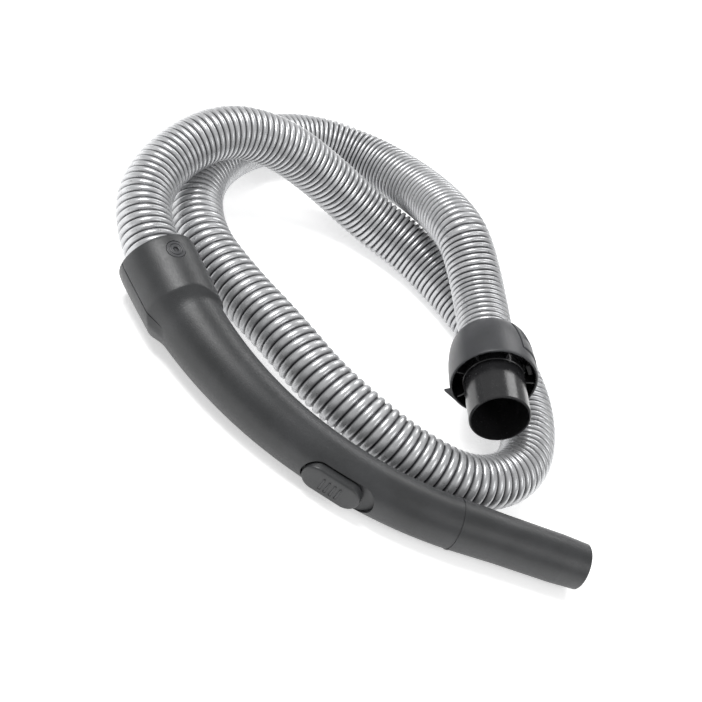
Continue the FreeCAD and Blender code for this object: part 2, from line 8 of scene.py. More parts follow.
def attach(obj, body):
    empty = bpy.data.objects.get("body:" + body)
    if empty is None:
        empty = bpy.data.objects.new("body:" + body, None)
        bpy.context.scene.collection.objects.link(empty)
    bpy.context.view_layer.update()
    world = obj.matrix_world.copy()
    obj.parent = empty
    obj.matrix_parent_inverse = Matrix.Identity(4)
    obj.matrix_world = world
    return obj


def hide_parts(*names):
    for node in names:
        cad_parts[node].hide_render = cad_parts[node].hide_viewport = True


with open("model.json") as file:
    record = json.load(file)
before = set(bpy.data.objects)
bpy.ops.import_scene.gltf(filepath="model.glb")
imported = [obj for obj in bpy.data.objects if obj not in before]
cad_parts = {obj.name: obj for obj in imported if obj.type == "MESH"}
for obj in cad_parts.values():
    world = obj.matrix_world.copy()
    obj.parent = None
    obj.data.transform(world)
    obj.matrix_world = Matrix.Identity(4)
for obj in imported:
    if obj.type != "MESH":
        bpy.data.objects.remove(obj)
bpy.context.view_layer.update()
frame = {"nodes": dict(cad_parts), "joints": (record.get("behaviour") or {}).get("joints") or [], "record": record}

MM = 0.001
nodes = frame["nodes"]
mounts = {mount["name"]: mount for mount in frame["record"]["mounts"]}
joints = {joint["name"]: joint for joint in frame["joints"]}

# ---------------------------------------------------------------- frames of the handle and the connector

# The handle's centre line, from the rear of its collar to the tip of the spigot (millimetres, degrees).
COLLAR_RUN = 27.0
BENDS = ((243.0, 32.1), (277.0, 25.9))
SEAM_AT = COLLAR_RUN + sum(radius * math.radians(angle) for radius, angle in BENDS)


def shift(x=0.0, y=0.0, z=0.0):
    """A matrix that only moves, in millimetres."""
    return Matrix.Translation(Vector((x, y, z)))


def turn(axis, degrees):
    """A matrix that only turns about an axis through the origin."""
    return Matrix.Rotation(math.radians(degrees), 4, axis)


def handle_point(distance):
    """Matrix on the handle's centre line at a distance from the collar's rear, local Z forward."""
    place = shift(z=min(distance, COLLAR_RUN))
    left = distance - COLLAR_RUN
    for radius, degrees in BENDS:
        angle = min(max(left, 0.0) / radius, math.radians(degrees))
        place = place @ shift(x=radius) @ turn("Y", math.degrees(angle)) @ shift(x=-radius)
        left -= angle * radius
    return place @ shift(z=max(left, 0.0))


def joint_frame(name, x_hint):
    """Matrix at a joint's place: local Z along its axis, local X as near as it goes to x_hint."""
    z = Vector(joints[name]["axis"]).normalized()
    x = (x_hint - z * x_hint.dot(z)).normalized()
    turned = Matrix((x, z.cross(x), z)).transposed().to_4x4()
    return Matrix.Translation(Vector(joints[name]["pos_m"])) @ turned @ Matrix.Scale(MM, 4)


bend_total = math.radians(sum(angle for radius, angle in BENDS))
spigot_axis = Vector(mounts["wand_spigot"]["axis"])
handle_axis = Vector(joints["handle_swivel"]["axis"])
HANDLE = joint_frame("handle_swivel", spigot_axis - handle_axis * math.cos(bend_total))
latch_pin = Vector(joints["latch_rock"]["pos_m"])
CONNECTOR = joint_frame("connector_swivel", latch_pin - Vector(joints["connector_swivel"]["pos_m"]))

# ------------------------------------------------------------------------------------------------ camera

CAMERA_DISTANCE = 1.4496
CAMERA_TARGET = Vector((0.0089, 0.0881, 0.0))
CAMERA_AZIMUTH = -21.76
CAMERA_ELEVATION = 38.1
CAMERA_ROLL = 33.76
CAMERA_LENS = 101.4


def make_camera():
    """The camera, which looks down on the hose with its frame rolled against the floor."""
    data = bpy.data.cameras.new("camera")
    data.lens = CAMERA_LENS
    data.sensor_width = 36.0
    camera = bpy.data.objects.new("camera", data)
    bpy.context.scene.collection.objects.link(camera)
    camera.matrix_world = (
        Matrix.Translation(CAMERA_TARGET)
        @ turn("Z", CAMERA_AZIMUTH)
        @ turn("X", 90 - CAMERA_ELEVATION)
        @ turn("Z", CAMERA_ROLL)
        @ Matrix.Translation((0, 0, CAMERA_DISTANCE))
    )
    bpy.context.scene.camera = camera


make_camera()

# -------------------------------------------------------------------------------------------------- hose

ROUTE = [
    (-0.1512, 0.06345, 0.0309),
    (-0.1761, 0.10313, 0.03458),
    (-0.16769, 0.15573, 0.0475),
    (-0.13119, 0.19873, 0.065),
    (-0.08299, 0.21903, 0.0595),
    (-0.03249, 0.22553, 0.039),
    (0.01411, 0.21873, 0.022),
    (0.05601, 0.20003, 0.02),
    (0.09051, 0.16803, 0.02),
    (0.12651, 0.12253, 0.02),
    (0.14651, 0.06503, 0.02),
    (0.13851, 0.00303, 0.02),
    (0.09451, -0.02987, 0.02),
    (0.04351, -0.02387, 0.024),
    (0.00451, -0.00797, 0.028),
    (-0.02849, 0.01403, 0.029),
    (-0.05899, 0.04563, 0.0294),
    (-0.09249, 0.08353, 0.0237),
    (-0.12549, 0.12853, 0.02),
    (-0.13049, 0.19103, 0.02),
    (-0.09499, 0.25713, 0.02),
    (-0.04049, 0.29513, 0.02),
    (0.01051, 0.28713, 0.027),
    (0.04451, 0.23973, 0.05),
    (0.06231, 0.18023, 0.0735),
    (0.07531, 0.15473, 0.068),
    (0.08901, 0.1137, 0.05621),
    (0.09191, 0.07181, 0.05731),
]
HOSE_RADIUS = 0.020
GROOVE_DEPTH = 0.0024
# Pitch of the ridges in millimetres at shares of the hose's length: its lower run is stretched.
PITCHES = [(0.0, 5.5), (0.1, 4.9), (0.3, 4.7), (0.42, 5.6), (0.48, 6.6), (0.62, 6.5), (0.7, 5.2),
           (0.78, 4.6), (0.92, 4.5), (1.0, 5.1)]
# Steps across one ridge, as shares of the pitch. The groove lies at share 0.
RIDGE_STEPS = (0.0, 0.05, 0.1, 0.17, 0.27, 0.38, 0.5, 0.62, 0.73, 0.83, 0.9, 0.95)
HOSE_SIDES = 72
# Half of the groove's width as a share of the pitch, and the part of the depth that lies outside the groove.
GROOVE_REACH = 0.13
FLANK_DEPTH = 0.18


def spline_points():
    """Points along the smooth NURBS line of the hose's route."""
    curve = bpy.data.curves.new("hose_line", "CURVE")
    curve.dimensions = "3D"
    spline = curve.splines.new("NURBS")
    spline.points.add(len(ROUTE) - 1)
    for point, place in zip(spline.points, ROUTE):
        point.co = (*place, 1.0)
    spline.order_u = 3
    spline.use_endpoint_u = True
    spline.resolution_u = 24
    holder = bpy.data.objects.new("hose_line", curve)
    bpy.context.scene.collection.objects.link(holder)
    line = bpy.data.meshes.new_from_object(holder)
    points = [vertex.co.copy() for vertex in line.vertices]
    bpy.data.objects.remove(holder)
    bpy.data.curves.remove(curve)
    bpy.data.meshes.remove(line)
    return points


class Line:
    """A line through points, read by length, with a frame that doesn't twist."""

    def __init__(self, points):
        self.points = points
        self.reach = [0.0]
        for before, after in zip(points, points[1:]):
            self.reach.append(self.reach[-1] + (after - before).length)
        self.length = self.reach[-1]
        self.tangents = []
        last = len(points) - 1
        for number in range(len(points)):
            step = points[min(number + 1, last)] - points[max(number - 1, 0)]
            self.tangents.append(step.normalized())
        side = self.tangents[0].cross(Vector((0, 0, 1))).normalized()
        self.sides = [side]
        for tangent in self.tangents[1:]:
            side = (side - tangent * side.dot(tangent)).normalized()
            self.sides.append(side)
        self.at = 0

    def frame(self, distance):
        """Centre, side and tangent at a distance along the line."""
        distance = min(max(distance, 0.0), self.length)
        while self.at > 0 and self.reach[self.at] > distance:
            self.at -= 1
        while self.at < len(self.points) - 2 and self.reach[self.at + 1] < distance:
            self.at += 1
        span = self.reach[self.at + 1] - self.reach[self.at]
        share = (distance - self.reach[self.at]) / span
        centre = self.points[self.at].lerp(self.points[self.at + 1], share)
        tangent = self.tangents[self.at].lerp(self.tangents[self.at + 1], share).normalized()
        side = self.sides[self.at].lerp(self.sides[self.at + 1], share)
        side = (side - tangent * side.dot(tangent)).normalized()
        return centre, side, tangent


def pitch_at(share):
    """Ridge pitch in metres at a share of the hose's length."""
    for (low, first), (high, second) in zip(PITCHES, PITCHES[1:]):
        if share <= high:
            return (first + (second - first) * (share - low) / (high - low)) * MM
    return PITCHES[-1][1] * MM


def ridge_places(length):
    """Distance along the hose of each turn of the ridge, from one turn before its start."""
    places = [-pitch_at(0.0)]
    while places[-1] < length + pitch_at(1.0):
        places.append(places[-1] + pitch_at(max(places[-1], 0.0) / length))
    return places


def groove_share(share):
    """How deep the hose's wall lies at a share of the pitch: 1 in the groove, 0 on the ridge."""
    away = min(share, 1 - share)
    return (1 - FLANK_DEPTH) / (1 + (away / GROOVE_REACH) ** 2.4) + FLANK_DEPTH * (1 - 2 * away) ** 2


def link(mesh, name):
    """Adds a mesh to the scene as an object."""
    piece = bpy.data.objects.new(name, mesh)
    bpy.context.scene.collection.objects.link(piece)
    return piece


def make_hose():
    """The corrugated hose: one spiral ridge, whose turns follow the route."""
    points = spline_points()
    line = Line(points)
    places = ridge_places(line.length)
    steps = len(RIDGE_STEPS)
    count = (len(places) - 2) * steps
    vertices = []
    shades = []
    for row in range(count):
        ridge, step = divmod(row, steps)
        share = RIDGE_STEPS[step]
        depth = groove_share(share)
        radius = HOSE_RADIUS - GROOVE_DEPTH * depth
        shades += [depth] * HOSE_SIDES
        for side in range(HOSE_SIDES):
            lag = share + 1 - side / HOSE_SIDES
            whole = ridge + int(math.floor(lag))
            along = places[whole] + (places[whole + 1] - places[whole]) * (lag - math.floor(lag))
            centre, across, tangent = line.frame(along)
            angle = 2 * math.pi * side / HOSE_SIDES
            out = across * math.cos(angle) + tangent.cross(across) * math.sin(angle)
            vertices.append(centre + out * radius)
    faces = []
    for row in range(count - 1):
        for side in range(HOSE_SIDES - 1):
            low = row * HOSE_SIDES + side
            faces.append((low, low + 1, low + HOSE_SIDES + 1, low + HOSE_SIDES))
        last = row * HOSE_SIDES + HOSE_SIDES - 1
        first = (row - steps) * HOSE_SIDES
        if row >= steps:
            faces.append((last, first, first + HOSE_SIDES, last + HOSE_SIDES))
    mesh = bpy.data.meshes.new("corrugated_hose")
    mesh.from_pydata(vertices, [], faces)
    mesh.polygons.foreach_set("use_smooth", [True] * len(mesh.polygons))
    # The depth of the wall at each point, kept to paint shade into the grooves.
    mesh.attributes.new("groove", "FLOAT", "POINT").data.foreach_set("value", shades)
    hose = link(mesh, "corrugated_hose")
    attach(hose, "hose")
    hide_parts("hose")
    print("hose length", round(line.length, 4), "turns", len(places))
    return hose


hose = make_hose()

# --------------------------------------------------------------------------------------------- materials


class Finish:
    """A procedural plastic, rubber or metal, built up node by node."""

    def __init__(self, name, colour, roughness, **sockets):
        self.material = bpy.data.materials.new(name)
        self.material.use_nodes = True
        self.tree = self.material.node_tree
        self.shader = self.tree.nodes["Principled BSDF"]
        self.shader.inputs["Base Color"].default_value = (*colour, 1.0)
        self.shader.inputs["Roughness"].default_value = roughness
        for socket, value in sockets.items():
            self.shader.inputs[socket.replace("_", " ")].default_value = value
        self.place = self.tree.nodes.new("ShaderNodeTexCoord").outputs["Object"]

    def noise(self, scale, detail, roughness=0.55):
        """Noise by object coordinates. Scale counts its features over a metre."""
        made = self.tree.nodes.new("ShaderNodeTexNoise")
        made.inputs["Scale"].default_value = scale
        made.inputs["Detail"].default_value = detail
        made.inputs["Roughness"].default_value = roughness
        self.tree.links.new(self.place, made.inputs["Vector"])
        return made.outputs["Fac"]

    def ramp(self, source, low, high, low_value, high_value):
        """Maps a grey source to a value that runs from low_value to high_value."""
        made = self.tree.nodes.new("ShaderNodeMapRange")
        made.inputs["From Min"].default_value = low
        made.inputs["From Max"].default_value = high
        made.inputs["To Min"].default_value = low_value
        made.inputs["To Max"].default_value = high_value
        self.tree.links.new(source, made.inputs["Value"])
        return made.outputs["Result"]

    def mix(self, factor, first, second):
        """Mixes two colours by a grey factor."""
        made = self.tree.nodes.new("ShaderNodeMix")
        made.data_type = "RGBA"
        for socket, colour in (("A", first), ("B", second)):
            if isinstance(colour, tuple):
                made.inputs[socket].default_value = (*colour, 1.0)
            else:
                self.tree.links.new(colour, made.inputs[socket])
        self.tree.links.new(factor, made.inputs["Factor"])
        return made.outputs["Result"]

    def bump(self, height, distance):
        """A bump node at full strength, its distance in metres."""
        made = self.tree.nodes.new("ShaderNodeBump")
        made.inputs["Distance"].default_value = distance
        made.inputs["Strength"].default_value = 1.0
        self.tree.links.new(height, made.inputs["Height"])
        return made.outputs["Normal"]

    def set(self, socket, source):
        """Joins a source to one of the shader's sockets."""
        self.tree.links.new(source, self.shader.inputs[socket])


def hose_plastic():
    """Silver-grey semi-gloss plastic, with painted shade in its grooves and rubbed ridges."""
    finish = Finish("hose_plastic", (0.42, 0.425, 0.43), 0.3, Metallic=0.55)
    reader = finish.tree.nodes.new("ShaderNodeAttribute")
    reader.attribute_name = "groove"
    # Painted shade: by their depth, the grooves are mixed towards near black, where shade falls between the
    # ridges.
    groove = finish.ramp(reader.outputs["Fac"], 0.25, 0.9, 0, 1)
    mottle = finish.ramp(finish.noise(70, 5), 0.35, 0.65, 0, 1)
    ridge = finish.mix(mottle, (0.46, 0.465, 0.475), (0.55, 0.555, 0.565))
    finish.set("Base Color", finish.mix(groove, ridge, (0.05, 0.05, 0.055)))
    finish.set("Roughness", finish.ramp(finish.noise(240, 3), 0.3, 0.7, 0.24, 0.36))
    finish.set("Normal", finish.bump(finish.noise(900, 2), 0.00003))
    return finish.material


def moulded(name, dark, light, roughness, grain, depth):
    """Moulded plastic with a fine spark-eroded grain."""
    finish = Finish(name, dark, roughness)
    mottle = finish.ramp(finish.noise(35, 4), 0.35, 0.65, 0, 1)
    finish.set("Base Color", finish.mix(mottle, dark, light))
    coarse = finish.noise(grain * 0.4, 3)
    finish.set("Roughness", finish.ramp(coarse, 0.3, 0.7, roughness - 0.05, roughness + 0.06))
    finish.set("Normal", finish.bump(finish.noise(grain, 2, 0.7), depth))
    return finish.material


def steel():
    """Zinc-plated steel with fine brushing."""
    finish = Finish("plated_steel", (0.5, 0.5, 0.5), 0.35, Metallic=1.0)
    finish.set("Roughness", finish.ramp(finish.noise(1500, 3), 0.3, 0.7, 0.28, 0.5))
    finish.set("Normal", finish.bump(finish.noise(2500, 2), 0.00002))
    return finish.material


MATERIALS = {
    "hose": hose_plastic(),
    "handle": moulded("handle_plastic", (0.020, 0.021, 0.022), (0.030, 0.031, 0.033), 0.4, 1500, 0.00012),
    "cuff": moulded("cuff_plastic", (0.22, 0.22, 0.23), (0.27, 0.27, 0.28), 0.42, 2000, 0.00004),
    "bell": moulded("bell_plastic", (0.032, 0.033, 0.036), (0.044, 0.045, 0.049), 0.38, 1900, 0.00007),
    "spout": moulded("spout_plastic", (0.012, 0.012, 0.013), (0.017, 0.017, 0.018), 0.22, 900, 0.00001),
    "seal": moulded("seal_rubber", (0.018, 0.018, 0.018), (0.025, 0.025, 0.025), 0.7, 1500, 0.00004),
    "steel": steel(),
}
SLOTS = {entry["node"]: entry["material_slot"] for entry in frame["record"]["subparts"]}


def paint(piece, slot):
    """Gives a piece the material of one of the record's slots."""
    piece.data.materials.clear()
    piece.data.materials.append(MATERIALS[slot])


for node_name, node in nodes.items():
    for number in range(len(node.material_slots)):
        node.material_slots[number].material = MATERIALS[SLOTS[node_name]]
paint(hose, "hose")

# ------------------------------------------------------------------------------------- pieces by mesh code


def ring_mesh(name, rings, place, closed=True, capped=False):
    """A mesh from rings of points in a local frame. A closed one joins its last ring to its first."""
    mesh_points = [place @ Vector(point) for ring in rings for point in ring]
    around = len(rings[0])
    faces = []
    for row in range(len(rings) if closed else len(rings) - 1):
        after = (row + 1) % len(rings)
        for side in range(around):
            beside = (side + 1) % around
            faces.append((row * around + side, row * around + beside,
                          after * around + beside, after * around + side))
    if capped:
        faces.append(tuple(range(around))[::-1])
        faces.append(tuple((len(rings) - 1) * around + side for side in range(around)))
    mesh = bpy.data.meshes.new(name)
    mesh.from_pydata(mesh_points, [], faces)
    return link(mesh, name)


def unit_circle(sides):
    """Cosine and sine of evenly spaced angles round a circle."""
    angles = [2 * math.pi * side / sides for side in range(sides)]
    return [(math.cos(angle), math.sin(angle)) for angle in angles]


def turned(name, profile, place, sides, closed=True, capped=False):
    """A ring mesh turned about local Z from (radius, along) points."""
    circle = unit_circle(sides)
    rings = []
    for radius, along in profile:
        rings.append([(radius * cosine, radius * sine, along) for cosine, sine in circle])
    return ring_mesh(name, rings, place, closed, capped)


def tidy(piece, sharp=38):
    """Makes normals face out, and shades the piece smooth but for its sharp edges."""
    work = bmesh.new()
    work.from_mesh(piece.data)
    bmesh.ops.remove_doubles(work, verts=work.verts, dist=0.000002)
    bmesh.ops.recalc_face_normals(work, faces=work.faces)
    work.to_mesh(piece.data)
    work.free()
    piece.data.polygons.foreach_set("use_smooth", [True] * len(piece.data.polygons))
    piece.data.set_sharp_from_angle(angle=math.radians(sharp))


def carve(piece, tool):
    """Cuts a tool out of a piece, and removes the tool."""
    tidy(piece)
    tidy(tool)
    modifier = piece.modifiers.new("carve", "BOOLEAN")
    modifier.operation = "DIFFERENCE"
    modifier.solver = "EXACT"
    modifier.object = tool
    bpy.context.view_layer.update()
    graph = bpy.context.evaluated_depsgraph_get()
    result = bpy.data.meshes.new_from_object(piece.evaluated_get(graph))
    piece.modifiers.clear()
    before = piece.data
    piece.data = result
    bpy.data.meshes.remove(before)
    shape = tool.data
    bpy.data.objects.remove(tool)
    bpy.data.meshes.remove(shape)


def merge(piece, *others):
    """Joins other pieces' meshes into the first, as separate shells."""
    work = bmesh.new()
    work.from_mesh(piece.data)
    for other in others:
        work.from_mesh(other.data)
    work.to_mesh(piece.data)
    work.free()
    for other in others:
        shape = other.data
        bpy.data.objects.remove(other)
        bpy.data.meshes.remove(shape)


def brick(name, place, low, high, edge=0.3):
    """A box between two local corners, with bevelled edges."""
    work = bmesh.new()
    bmesh.ops.create_cube(work, size=1.0)
    for vertex in work.verts:
        vertex.co = Vector([a + (b - a) * (c + 0.5) for a, b, c in zip(low, high, vertex.co)])
    if edge > 0:
        bmesh.ops.bevel(work, geom=list(work.edges), offset=edge, segments=2, affect="EDGES", profile=0.5)
    bmesh.ops.transform(work, matrix=place, verts=work.verts)
    mesh = bpy.data.meshes.new(name)
    work.to_mesh(mesh)
    work.free()
    return link(mesh, name)


def fit(piece, body, slot_name, *replaced):
    """Finishes a piece: shading, the body it rides on, its slot and the CAD nodes it stands for."""
    tidy(piece)
    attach(piece, body)
    if replaced:
        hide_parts(*replaced)
    if not piece.data.materials:
        paint(piece, slot_name)


# ------------------------------------------------------------------------------------------------ collar

NECK_RADIUS = 18.3
SHOULDER_RADIUS = 24.0
SHOULDER_AT = 48.0
COLLAR_LENGTH = 66.5
COLLAR_REAR = 27.7
COLLAR_BELLY = 28.2
COLLAR_BELLY_AT = 8
COLLAR_BORE = 25.0
COLLAR_GAP = 0.2
# The lip over the top, and how much farther it runs inside the handle's bend and below.
LIP_LENGTH = 45.0
LIP_INSIDE = 12.0
LIP_BELOW = 6.5
LIP_ROUND = 2.8
LIP_COVE = 3.0
# (radius, along) round the rear rim, from the bore to the outside.
RIM_PROFILE = ((27.0, 4.2), (27.0, 0.8), (27.06, 0.3), (27.2, 0.05), (27.4, 0.0), (27.6, 0.12), (27.72, 0.45))
SCREW_AT = 13.0
SCREW_ANGLE = 86.0
SCREW_TOP = 27.9


def tube_radius(along):
    """Outer radius of the handle's tube at a distance from the collar's rear."""
    share = (SEAM_AT - along) / (SEAM_AT - SHOULDER_AT)
    return NECK_RADIUS + (SHOULDER_RADIUS - NECK_RADIUS) * share * share


def collar_radius(along):
    """Outer radius of the collar behind its lip."""
    if along < COLLAR_BELLY_AT:
        return COLLAR_REAR + (COLLAR_BELLY - COLLAR_REAR) * math.sin(math.pi / 2 * along / COLLAR_BELLY_AT)
    return COLLAR_BELLY - 1.6 * ((along - COLLAR_BELLY_AT) / (COLLAR_LENGTH - COLLAR_BELLY_AT)) ** 1.3


def lip_at(angle):
    """Distance from the collar's rear to its lip: level over the top, longer inside the bend and below."""
    across = 27.2 * math.cos(angle)
    inside = math.tanh(0.022 * max(0.0, across + 6.0) ** 2 / LIP_INSIDE)
    rise = min(max((math.degrees(angle) - 174.0) / 24.0, 0.0), 1.0)
    fall = min(max((360.0 - math.degrees(angle)) / 60.0, 0.0), 1.0)
    below = rise * rise * (3 - 2 * rise) * fall
    return LIP_LENGTH + LIP_INSIDE * inside + LIP_BELOW * below


def on_tube(angle, along, offset):
    """A point on the handle's tube, offset outwards."""
    radius = tube_radius(along) + offset
    return handle_point(along) @ Vector((radius * math.cos(angle), radius * math.sin(angle), 0))


def collar_section(angle, sink):
    """The loop of points that one angle gives: round the rim, over the outside and lip, and back inside."""
    way = Vector((math.cos(angle), math.sin(angle), 0))
    ahead = Vector((0, 0, 1))
    lip = lip_at(angle)
    step = collar_radius(lip) - (on_tube(angle, lip, 0.0) - ahead * lip).dot(way)
    cove = LIP_COVE + 1.5 * step
    points = [way * radius + ahead * along for radius, along in RIM_PROFILE]
    rim_end = RIM_PROFILE[-1][1]
    count = 24
    for number in range(1, count + 1):
        along = rim_end + (lip - LIP_ROUND - rim_end) * number / count
        points.append(way * (collar_radius(along) - sink) + ahead * along)
    count = 26
    for number in range(1, count + 1):
        along = lip - LIP_ROUND + (LIP_ROUND + cove) * number / count
        share = 0.5 * (1 + math.cos(math.pi * (number / count) ** 0.66))
        outside = way * (collar_radius(min(along, COLLAR_LENGTH + 4)) - sink) + ahead * along
        points.append(outside * share + on_tube(angle, along, 0.0) * (1 - share))
    points.append(on_tube(angle, lip + cove + 1.0, -0.3))
    points.append(on_tube(angle, lip + cove, -1.2))
    points.append(on_tube(angle, 32.0, -1.2))
    points.append(way * COLLAR_BORE + ahead * 24)
    points.append(way * COLLAR_BORE + ahead * RIM_PROFILE[0][1])
    return points


def make_collar():
    """The two halves of the collar, which flow into the tube at a soft lip, and their dark screws."""
    gap = COLLAR_GAP
    for name, first, body_side in (("collar_shell_upper", 0.0, 1), ("collar_shell_lower", math.pi, -1)):
        reaches = [gap, gap + 0.08, gap + 0.2, gap + 0.4, gap + 0.8]
        count = 84
        half = math.pi * COLLAR_REAR
        run = half - 2 * reaches[-1]
        steps = reaches + [reaches[-1] + run * number / count for number in range(1, count)]
        steps += [half - reach for reach in reversed(reaches)]
        rings = []
        for step in steps:
            edge = min(step, half - step) - gap
            sink = 0.35 * max(0.0, 1 - edge / 0.5) ** 2
            rings.append(collar_section(first + step / COLLAR_REAR, sink))
        shell = ring_mesh(name, rings, HANDLE, closed=False, capped=True)
        round_axis = turn("Z", 180 - body_side * SCREW_ANGLE)
        place = HANDLE @ shift(z=SCREW_AT) @ round_axis @ turn("Y", 90)
        well_profile = ((7.2, 25.9), (7.2, 28.0), (7.6, 29.5), (7.6, 33.0))
        well = turned("screw_well", well_profile, place, 96, closed=False, capped=True)
        carve(shell, well)
        fit(shell, "handle", "handle", "collar_upper" if body_side > 0 else "collar_lower")

    heads = []
    profile = ((0.02, -1.4), (1.7, -1.4), (2.0, -1.1), (2.1, -0.15), (2.35, 0.0), (4.2, 0.0), (4.4, -0.12),
               (4.45, -0.55), (4.75, -0.55), (4.8, -0.12), (5.0, 0.0), (6.5, 0.0), (6.8, -0.12), (6.9, -0.4),
               (6.9, -2.4), (0.02, -2.4))
    for number, body_side in enumerate((1, -1)):
        round_axis = turn("Z", 180 - body_side * SCREW_ANGLE)
        place = HANDLE @ shift(z=SCREW_AT) @ round_axis @ turn("Y", 90) @ shift(z=SCREW_TOP)
        head = turned(f"screw_head_{number}", profile, place, 72, closed=False, capped=True)
        slots = brick(f"screw_drive_{number}", place, (-2.2, -0.5, -1.45), (2.2, 0.5, -0.9), 0.1)
        merge(head, slots)
        heads.append(head)
    merge(*heads)
    fit(heads[0], "handle", SLOTS["collar_screws"], "collar_screws")
    paint(heads[0], "bell")


# ---------------------------------------------------------------------------------------- bleed slider

BLEED_AT = 201.0
SLIDER_LENGTH = 44.0
SLIDER_WIDTH = 21.0
SLIDER_TOP = 21.0
SLIDER_LOW = 13.9
RIB_COUNT = 4
RIB_PITCH = 4.2
RIB_HALF_LENGTH = 5.4
RIB_RADIUS = 0.85
RIB_SIDES = 16


def stadium_ring(height, inset, count=48):
    """Points round an oval with straight sides, its length along local Z, at a height along X."""
    half_width = SLIDER_WIDTH / 2 - inset
    run = (SLIDER_LENGTH - SLIDER_WIDTH) / 2
    points = []
    for number in range(count * 2):
        angle = math.pi * (number + 0.5) / count
        offset = run if math.cos(angle) > 0 else -run
        points.append((height, half_width * math.sin(angle), half_width * math.cos(angle) + offset))
    return points


def make_slider():
    """The oval slider, with its rounded edge, crowned top, and ribs that end in a knob."""
    place = HANDLE @ handle_point(BLEED_AT) @ turn("Z", 180)
    levels = ((SLIDER_LOW, 0.4), (SLIDER_LOW + 0.3, 0.0), (19.2, 0.0), (19.9, 0.12), (20.4, 0.45),
              (20.75, 0.95), (20.95, 1.7), (21.05, 2.8), (21.15, 4.5), (21.2, 7.0), (21.22, 9.5))
    rings = [stadium_ring(height, inset) for height, inset in levels]
    plate = ring_mesh("slider_plate", rings, place, closed=False, capped=True)
    parts = []
    circle = unit_circle(RIB_SIDES)
    for number in range(RIB_COUNT):
        along = (number - (RIB_COUNT - 1) / 2) * RIB_PITCH
        rows = []
        for share in (-1.0, -0.97, -0.9, -0.8, 0.8, 0.9, 0.97, 1.0):
            swell = math.sqrt(max(1 - (max(abs(share) - 0.8, 0.0) / 0.2) ** 2, 0.0))
            radius = RIB_RADIUS * max(swell, 0.05)
            rows.append([
                (SLIDER_TOP + 0.15 + radius * cosine, share * RIB_HALF_LENGTH, along + radius * sine)
                for cosine, sine in circle
            ])
        parts.append(ring_mesh(f"slider_rib_{number}", rows, place, closed=False, capped=True))
        knob = []
        for height, radius in ((0.0, 1.05), (0.6, 1.0), (1.0, 0.75), (1.25, 0.35), (1.3, 0.05)):
            knob.append([
                (SLIDER_TOP + height, RIB_HALF_LENGTH + radius * cosine, along + radius * sine)
                for cosine, sine in circle
            ])
        parts.append(ring_mesh(f"slider_knob_{number}", knob, place, closed=False, capped=True))
    parts.append(brick("slider_stem", place, (9.3, -1.5, -5.0), (14.2, 1.5, 5.0)))
    merge(plate, *parts)
    plate.name = "slider_button"
    fit(plate, "slider", "handle", "bleed_slider")


# -------------------------------------------------------------------------------------------- connector

BELL_REAR = 21.2
BELL_MOUTH = 31.6
BELL_DEPTH = 44.0
BELL_WALL = 2.0
LATCH_REAR = 5.0
LATCH_FRONT = 33.0
LATCH_WIDTH = 33.0
LATCH_GAP = 0.5
LATCH_LIFT = 0.7
PAD_EDGE = 1.0
PAD_RIDGE_PITCH = 3.2
PAD_RIDGE_MARGIN = 2.4
PAD_RIDGE_END = 21.0
PAD_RIDGE_FADE = 0.8
KEY_RADIUS = 35.8
KEY_ANGLES = (174, 210)
KEY_THICKNESS = 2.5
PIN_OUT = 26.3
PIN_ALONG = 26.0


def bell_radius(along):
    """Outer radius of the bell at a distance from its rear."""
    share = max(0.0, 1 - (1 - min(along, BELL_DEPTH) / BELL_DEPTH) ** 2.3) ** 0.5
    return BELL_REAR + (BELL_MOUTH - BELL_REAR) * share


def make_bell():
    """The bell, with a rounded mouth, the latch's window and the tapered key on its rim."""
    profile = [(20.4, 2.6), (20.4, 0.35), (20.55, 0.08), (20.8, 0.0), (21.15, 0.0)]
    count = 40
    for number in range(1, count + 1):
        along = (BELL_DEPTH - 0.8) * (number / count) ** 2
        profile.append((bell_radius(along), along))
    profile += [(31.5, 43.6), (31.2, 43.9), (30.8, 44.0), (30.3, 44.0), (29.9, 43.85), (29.65, 43.5)]
    for number in range(count + 1):
        along = BELL_DEPTH - 1.0 - (BELL_DEPTH - 5.0) * number / count
        profile.append((bell_radius(along) - BELL_WALL, along))
    profile.append((bell_radius(3.8) - BELL_WALL - 1.2, 2.6))
    bell = turned("bell_shell", profile, CONNECTOR, 160)
    half = LATCH_WIDTH / 2 + LATCH_GAP
    window = brick("latch_window", CONNECTOR, (5, -half, LATCH_REAR - LATCH_GAP),
                   (60, half, LATCH_FRONT + LATCH_GAP), 0)
    carve(bell, window)

    first, last = (math.radians(angle) for angle in KEY_ANGLES)
    start = Vector((math.cos(first), math.sin(first))) * KEY_RADIUS
    end = Vector((math.cos(last), math.sin(last))) * (BELL_MOUTH - 0.2)
    rings = []
    for number in range(13):
        outer = start.lerp(end, number / 12)
        inner = outer.normalized() * (BELL_MOUTH - 1.2)
        low = BELL_DEPTH - KEY_THICKNESS
        rings.append([
            (inner.x, inner.y, low), (outer.x * 0.995, outer.y * 0.995, low), (outer.x, outer.y, low + 0.2),
            (outer.x, outer.y, BELL_DEPTH - 0.3), (outer.x * 0.993, outer.y * 0.993, BELL_DEPTH - 0.05),
            (inner.x, inner.y, BELL_DEPTH - 0.05),
        ])
    key = ring_mesh("bell_key", rings, CONNECTOR, closed=False, capped=True)
    merge(bell, key)
    fit(bell, "connector", "bell", "connector_bell")
    # Painted shade: faces on the inside of the bell take the darker spout plastic, standing in for the shade
    # inside the bell.
    bell.data.materials.append(MATERIALS["spout"])
    inward = CONNECTOR.inverted()
    for face in bell.data.polygons:
        centre = inward @ face.center
        across = Vector((centre.x, centre.y, 0))
        normal = inward.to_3x3() @ face.normal
        if across.length < bell_radius(centre.z) - 0.5 * BELL_WALL and normal.dot(across) < 0:
            face.material_index = 1


